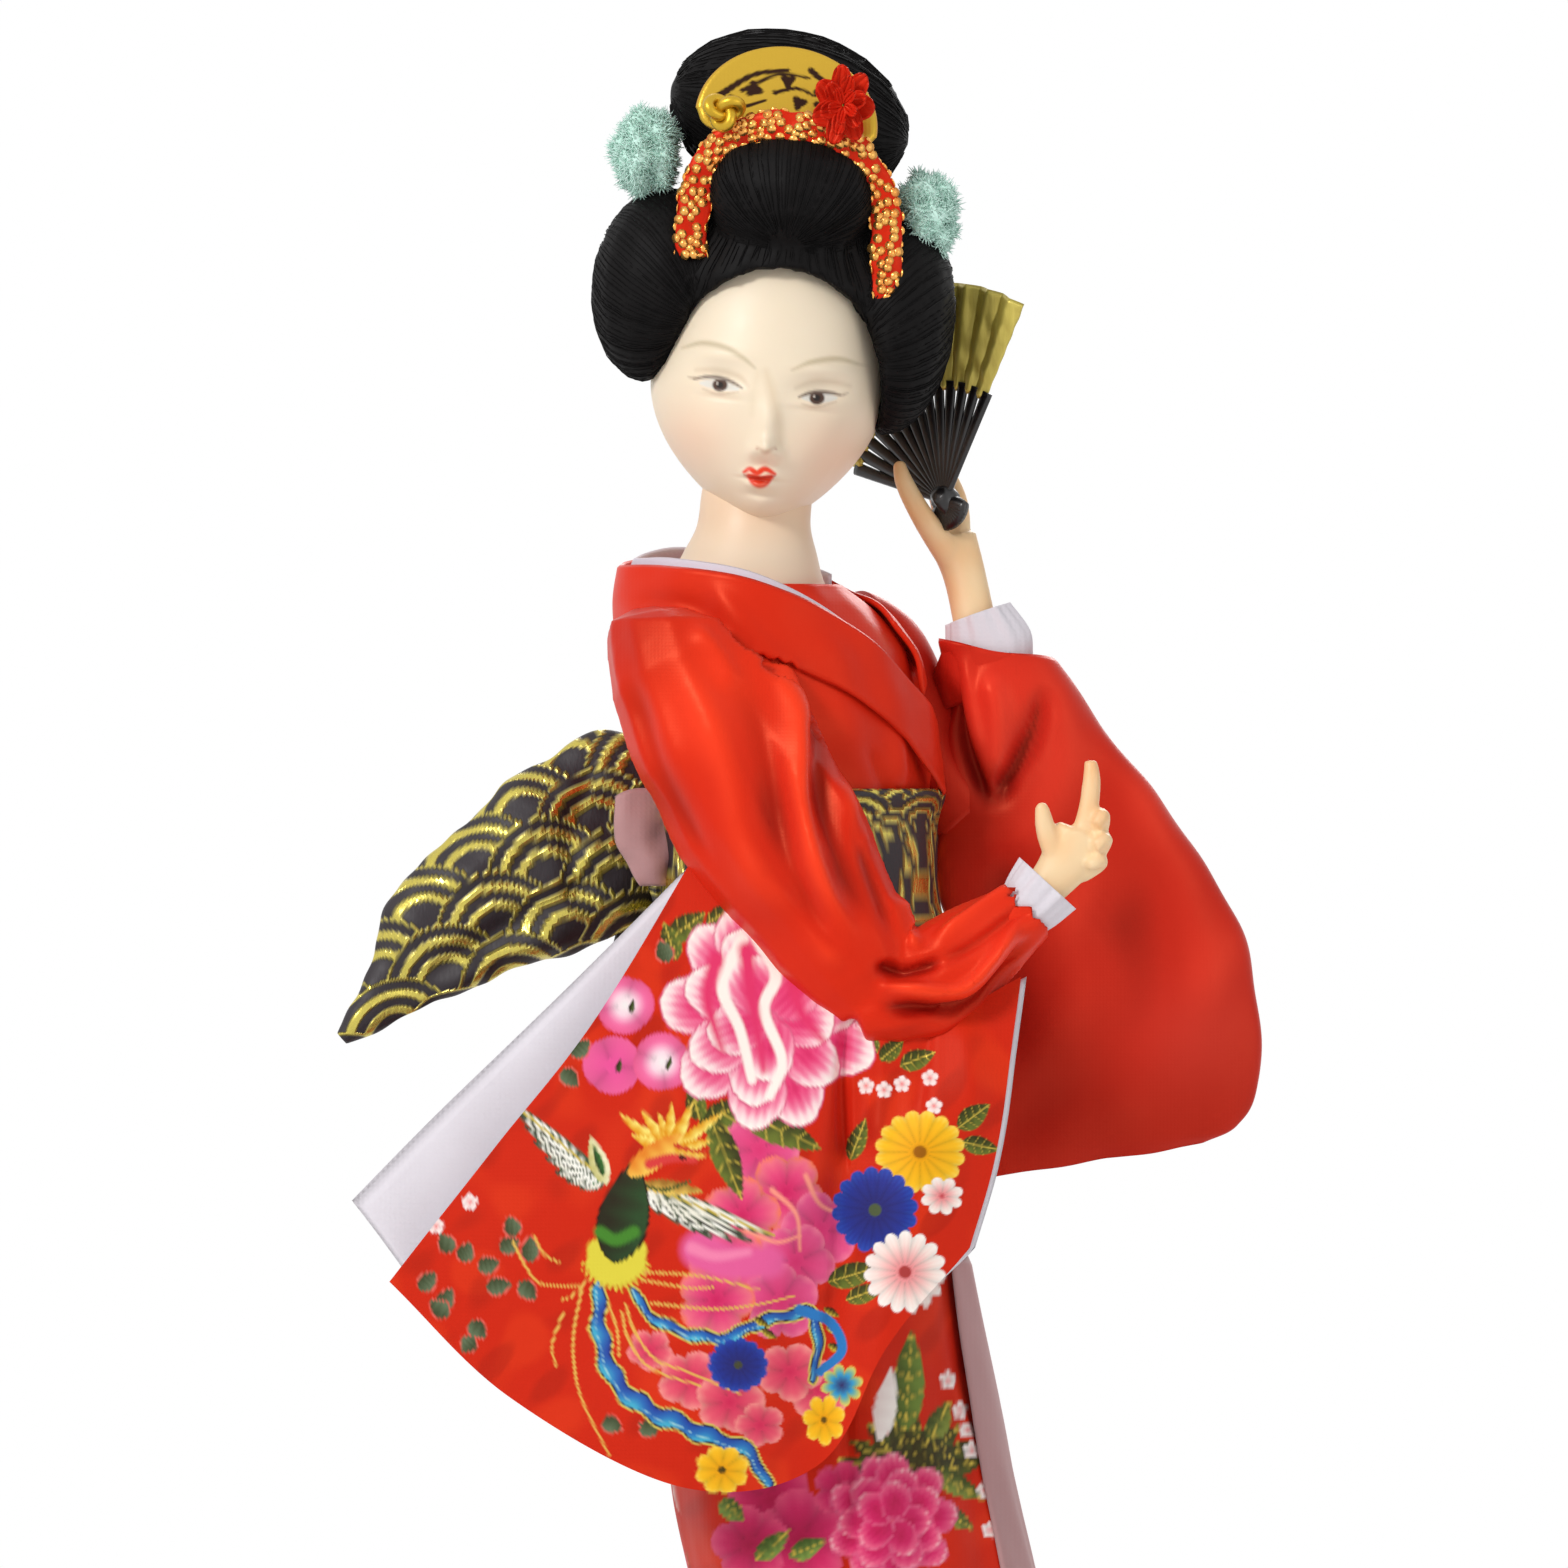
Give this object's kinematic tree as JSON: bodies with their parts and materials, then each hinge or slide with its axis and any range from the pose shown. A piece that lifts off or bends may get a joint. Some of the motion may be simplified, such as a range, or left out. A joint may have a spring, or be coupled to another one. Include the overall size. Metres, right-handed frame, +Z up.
{
  "type": "geisha doll",
  "caption": "Standing doll in a red kimono with a printed hanging sleeve, brocade sash and bow, dressed wig and raised fan, on a lacquered board.",
  "frame": {"origin": "centre of the board's underside", "axes": "+Z up along the figure, -Y the way the face looks, +X to the viewer's right, where the body turns"},
  "size_m": [0.1212, 0.1052, 0.3053],
  "materials": {
    "lacquer": "glossy",
    "steel": "satin",
    "straw": "matte",
    "red_satin": "satin",
    "print": "satin",
    "brocade": "satin",
    "white_cloth": "matte",
    "lining": "satin",
    "skin": "matte",
    "hair": "satin",
    "gold": "metallic paint",
    "gold_paper": "metallic foil",
    "ribbon": "satin",
    "mint": "matte",
    "black": "matte"
  },
  "bodies": {
    "root": {"base_board": "lacquer", "leg_wire_right": "steel", "leg_wire_left": "steel", "stuffed_body": "straw", "kimono_bodice": "red_satin", "kimono_skirt": "print", "skirt_lining": "lining", "obi_sash": "brocade", "kimono_collar": "red_satin", "under_collar": "white_cloth", "head": "skin", "hair_back": "hair", "hair_wing_right": "hair", "hair_wing_left": "hair", "hair_forelock": "hair", "hair_bun": "hair", "comb": "gold", "hair_ribbon": "ribbon", "ribbon_knot": "ribbon", "ribbon_flower": "ribbon", "puff_right": "mint", "puff_left": "mint", "sleeve_right": "red_satin", "hand_right": "skin", "cuff_right": "white_cloth", "hand_left": "skin", "cuff_left": "white_cloth", "sleeve_left": "red_satin", "fan_leaf": "gold_paper", "fan_sticks": "black", "fan_grip": "black", "bow_knot": "brocade", "bow_wing_right": "brocade", "bow_wing_left": "brocade", "obi_tail_right": "brocade", "obi_tail_left": "brocade", "sleeve_right_front": "print", "sleeve_right_back": "white_cloth"}
  },
  "joints": []
}
